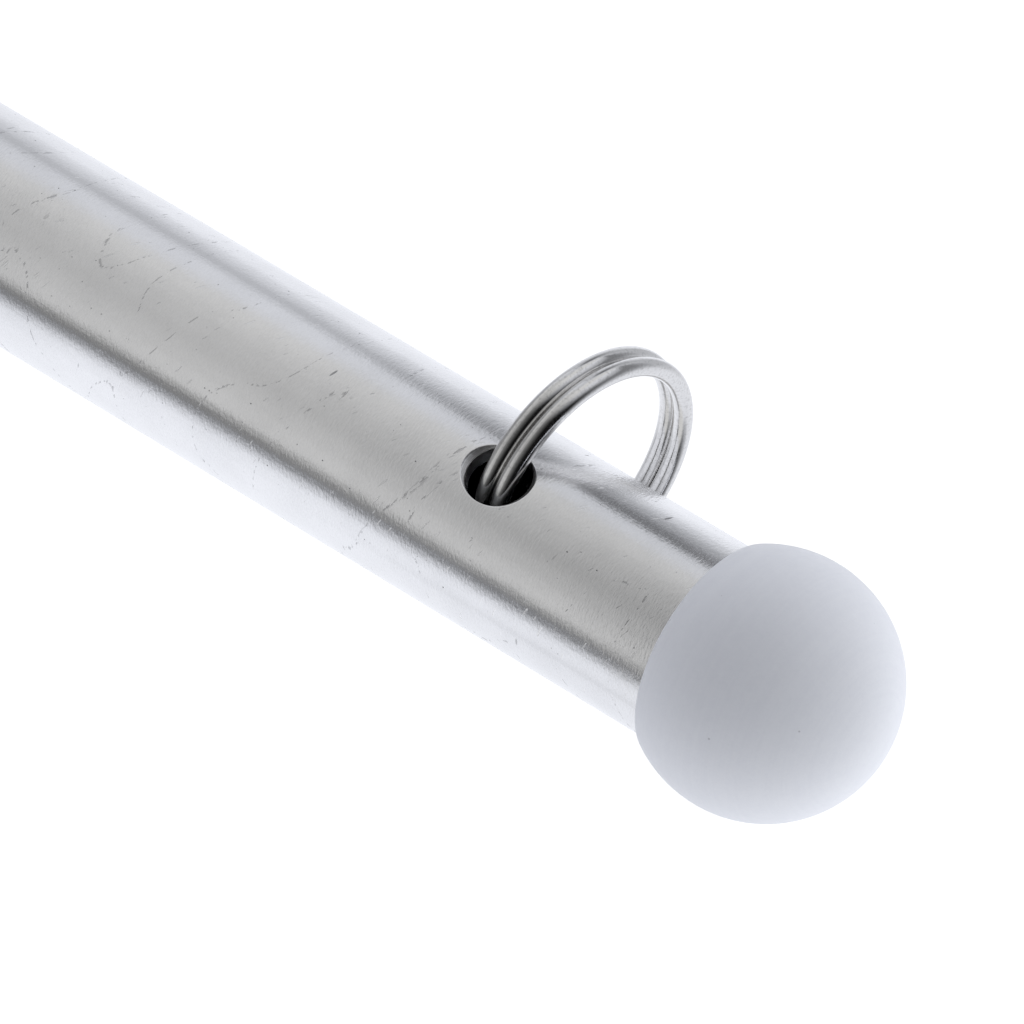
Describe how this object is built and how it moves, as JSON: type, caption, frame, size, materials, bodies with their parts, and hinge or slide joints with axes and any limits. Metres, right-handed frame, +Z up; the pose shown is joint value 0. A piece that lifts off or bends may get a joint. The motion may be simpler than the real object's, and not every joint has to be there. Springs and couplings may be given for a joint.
{
  "type": "boat flagpole",
  "caption": "Short boat flagpole: a polished aluminium tube with a turned nylon ball on top, a nylon foot plug and split rings through cross holes that a flag hooks to.",
  "frame": {"origin": "centre of the foot's flat bottom face, on the pole's axis", "axes": "+Z up the pole to the ball; the cross holes run along Y; the rings stand out towards -X"},
  "size_m": [0.0432, 0.0332, 0.4],
  "materials": {
    "polished_aluminium": "polished, with fine scratches, nicks and small pits",
    "white_nylon": "matte, with fine marks from the lathe",
    "ring_steel": "bright plated steel wire"
  },
  "bodies": {
    "pole": {"pole_tube": "polished_aluminium", "ball_finial": "white_nylon", "foot_plug": "white_nylon"},
    "upper_ring": {"upper_ring": "ring_steel"},
    "lower_ring": {"lower_ring": "ring_steel"}
  },
  "joints": [
    {"name": "upper_ring_swing", "type": "hinge", "parent": "pole", "child": "upper_ring", "pos_m": [0, 0, 0.3465], "axis": [0, 1, 0], "range_deg": [-60.3, 47.7]},
    {"name": "lower_ring_swing", "type": "hinge", "parent": "pole", "child": "lower_ring", "pos_m": [0, 0, 0.105], "axis": [0, 1, 0], "range_deg": [-60.3, 47.7]}
  ]
}
